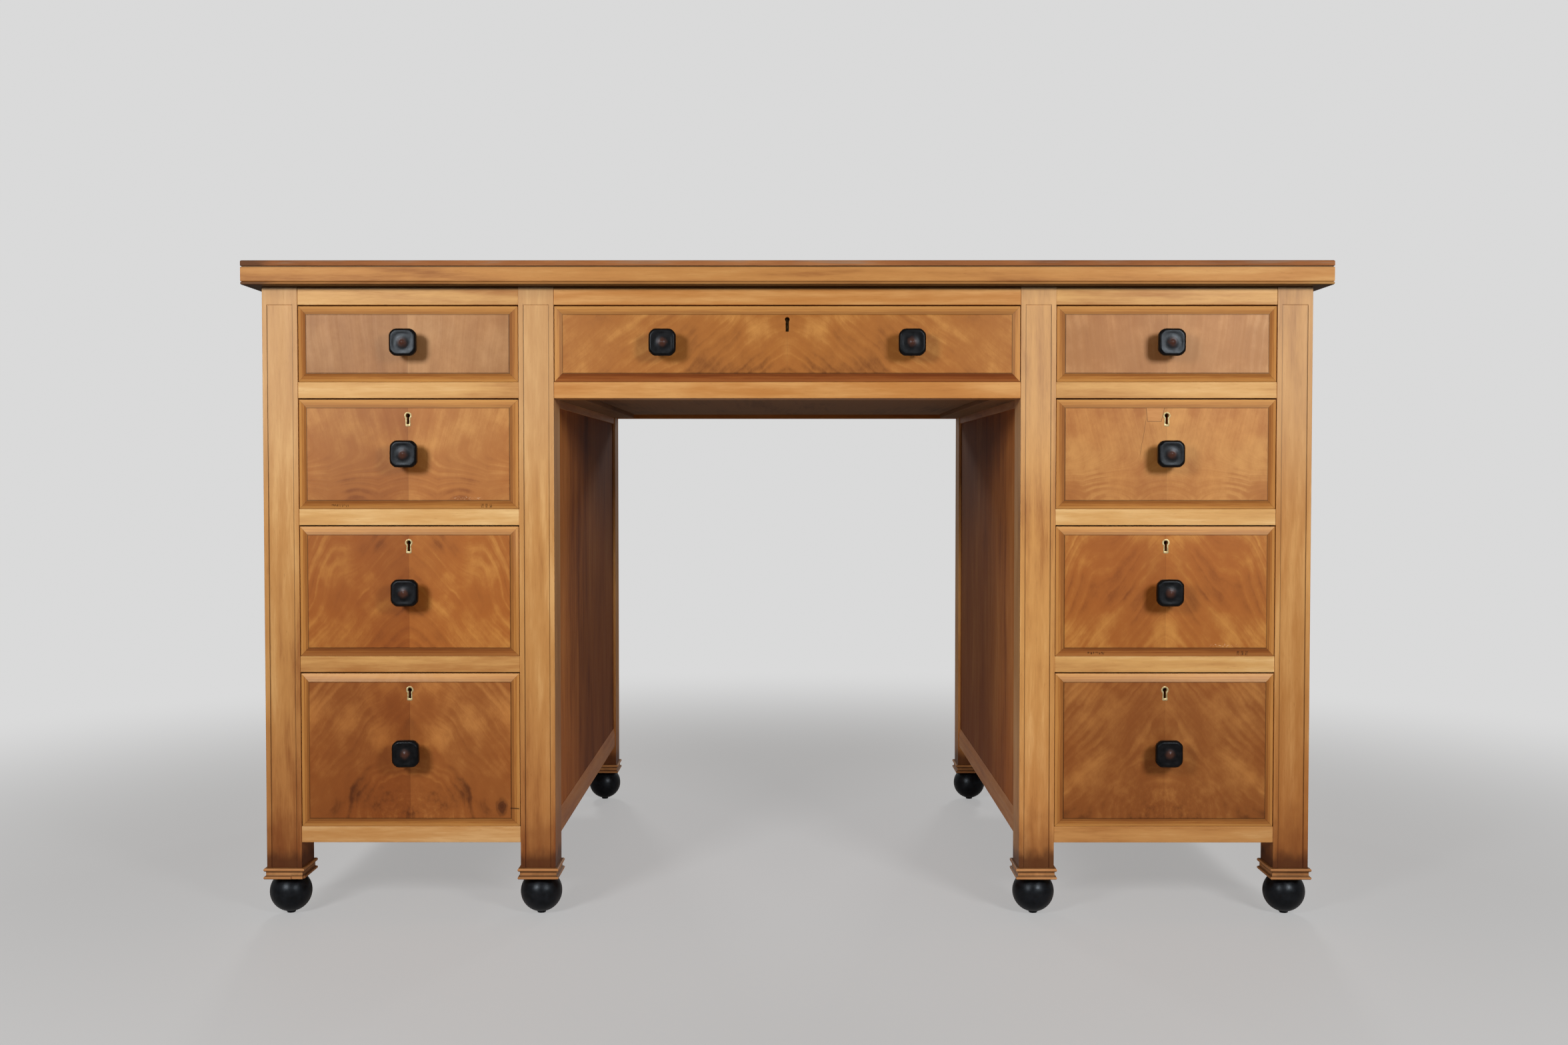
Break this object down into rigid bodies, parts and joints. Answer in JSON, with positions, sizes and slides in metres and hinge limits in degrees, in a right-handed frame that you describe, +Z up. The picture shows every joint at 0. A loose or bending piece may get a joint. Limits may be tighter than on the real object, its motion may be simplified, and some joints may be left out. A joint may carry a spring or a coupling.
{
  "type": "kneehole desk",
  "caption": "Walnut kneehole desk with pedestal drawers either side of a wide frieze drawer, square legs, ball feet and ebonised knobs.",
  "frame": {"origin": "on the floor under the middle of the writing top, which is under the middle of the whole box to within half the reach of the knobs", "axes": "+X to the sitter's right along the desk's length, -Y out of the drawer fronts towards the sitter, +Z up"},
  "size_m": [1.272, 0.793, 0.775],
  "materials": {
    "walnut_top": "satin polish",
    "walnut_frame": "satin polish",
    "walnut_panels": "satin polish",
    "figured_walnut": "satin polish",
    "drawer_lining": "bare wood",
    "inside_wood": "bare wood",
    "ebonised_wood": "satin black",
    "brass": "aged",
    "steel": "brushed"
  },
  "bodies": {
    "carcass": {"writing_top": "walnut_top", "top_edge_moulding": "walnut_top", "front_legs": "walnut_frame", "rear_legs": "walnut_frame", "leg_collars": "walnut_frame", "ball_feet": "ebonised_wood", "side_rails": "walnut_frame", "outer_side_panels": "walnut_panels", "drawer_runners": "inside_wood", "drawer_guides": "inside_wood", "drawer_stops": "inside_wood", "drawer_kickers": "inside_wood", "top_blocks": "inside_wood", "inner_side_panels": "walnut_panels", "frieze_rails": "walnut_frame", "drawer_rails": "walnut_frame", "back_rails": "walnut_frame", "back_panels": "walnut_panels", "kneehole_dust_board": "inside_wood"},
    "drawer_centre": {"drawer_front_centre": "figured_walnut", "drawer_box_centre": "drawer_lining", "knob_centre": "ebonised_wood", "lock_centre": "brass"},
    "bolt_body_centre": {"bolt_centre": "steel"},
    "drawer_left_1": {"drawer_front_left_1": "figured_walnut", "drawer_box_left_1": "drawer_lining", "knob_left_1": "ebonised_wood"},
    "drawer_left_2": {"drawer_front_left_2": "figured_walnut", "drawer_box_left_2": "drawer_lining", "knob_left_2": "ebonised_wood", "lock_left_2": "brass"},
    "bolt_body_left_2": {"bolt_left_2": "steel"},
    "drawer_left_3": {"drawer_front_left_3": "figured_walnut", "drawer_box_left_3": "drawer_lining", "knob_left_3": "ebonised_wood", "lock_left_3": "brass"},
    "bolt_body_left_3": {"bolt_left_3": "steel"},
    "drawer_left_4": {"drawer_front_left_4": "figured_walnut", "drawer_box_left_4": "drawer_lining", "knob_left_4": "ebonised_wood", "lock_left_4": "brass"},
    "bolt_body_left_4": {"bolt_left_4": "steel"},
    "drawer_right_1": {"drawer_front_right_1": "figured_walnut", "drawer_box_right_1": "drawer_lining", "knob_right_1": "ebonised_wood"},
    "drawer_right_2": {"drawer_front_right_2": "figured_walnut", "drawer_box_right_2": "drawer_lining", "knob_right_2": "ebonised_wood", "lock_right_2": "brass"},
    "bolt_body_right_2": {"bolt_right_2": "steel"},
    "drawer_right_3": {"drawer_front_right_3": "figured_walnut", "drawer_box_right_3": "drawer_lining", "knob_right_3": "ebonised_wood", "lock_right_3": "brass"},
    "bolt_body_right_3": {"bolt_right_3": "steel"},
    "drawer_right_4": {"drawer_front_right_4": "figured_walnut", "drawer_box_right_4": "drawer_lining", "knob_right_4": "ebonised_wood", "lock_right_4": "brass"},
    "bolt_body_right_4": {"bolt_right_4": "steel"}
  },
  "joints": [
    {"name": "centre_slide", "type": "slide", "parent": "carcass", "child": "drawer_centre", "axis": [0, -1, 0], "range_m": [0, 0.45]},
    {"name": "centre_bolt_slide", "type": "slide", "parent": "drawer_centre", "child": "bolt_body_centre", "axis": [0, 0, 1], "range_m": [0, 0.005]},
    {"name": "left_1_slide", "type": "slide", "parent": "carcass", "child": "drawer_left_1", "axis": [0, -1, 0], "range_m": [0, 0.45]},
    {"name": "left_2_slide", "type": "slide", "parent": "carcass", "child": "drawer_left_2", "axis": [0, -1, 0], "range_m": [0, 0.45]},
    {"name": "left_2_bolt_slide", "type": "slide", "parent": "drawer_left_2", "child": "bolt_body_left_2", "axis": [0, 0, 1], "range_m": [0, 0.005]},
    {"name": "left_3_slide", "type": "slide", "parent": "carcass", "child": "drawer_left_3", "axis": [0, -1, 0], "range_m": [0, 0.45]},
    {"name": "left_3_bolt_slide", "type": "slide", "parent": "drawer_left_3", "child": "bolt_body_left_3", "axis": [0, 0, 1], "range_m": [0, 0.005]},
    {"name": "left_4_slide", "type": "slide", "parent": "carcass", "child": "drawer_left_4", "axis": [0, -1, 0], "range_m": [0, 0.45]},
    {"name": "left_4_bolt_slide", "type": "slide", "parent": "drawer_left_4", "child": "bolt_body_left_4", "axis": [0, 0, 1], "range_m": [0, 0.005]},
    {"name": "right_1_slide", "type": "slide", "parent": "carcass", "child": "drawer_right_1", "axis": [0, -1, 0], "range_m": [0, 0.45]},
    {"name": "right_2_slide", "type": "slide", "parent": "carcass", "child": "drawer_right_2", "axis": [0, -1, 0], "range_m": [0, 0.45]},
    {"name": "right_2_bolt_slide", "type": "slide", "parent": "drawer_right_2", "child": "bolt_body_right_2", "axis": [0, 0, 1], "range_m": [0, 0.005]},
    {"name": "right_3_slide", "type": "slide", "parent": "carcass", "child": "drawer_right_3", "axis": [0, -1, 0], "range_m": [0, 0.45]},
    {"name": "right_3_bolt_slide", "type": "slide", "parent": "drawer_right_3", "child": "bolt_body_right_3", "axis": [0, 0, 1], "range_m": [0, 0.005]},
    {"name": "right_4_slide", "type": "slide", "parent": "carcass", "child": "drawer_right_4", "axis": [0, -1, 0], "range_m": [0, 0.45]},
    {"name": "right_4_bolt_slide", "type": "slide", "parent": "drawer_right_4", "child": "bolt_body_right_4", "axis": [0, 0, 1], "range_m": [0, 0.005]}
  ]
}
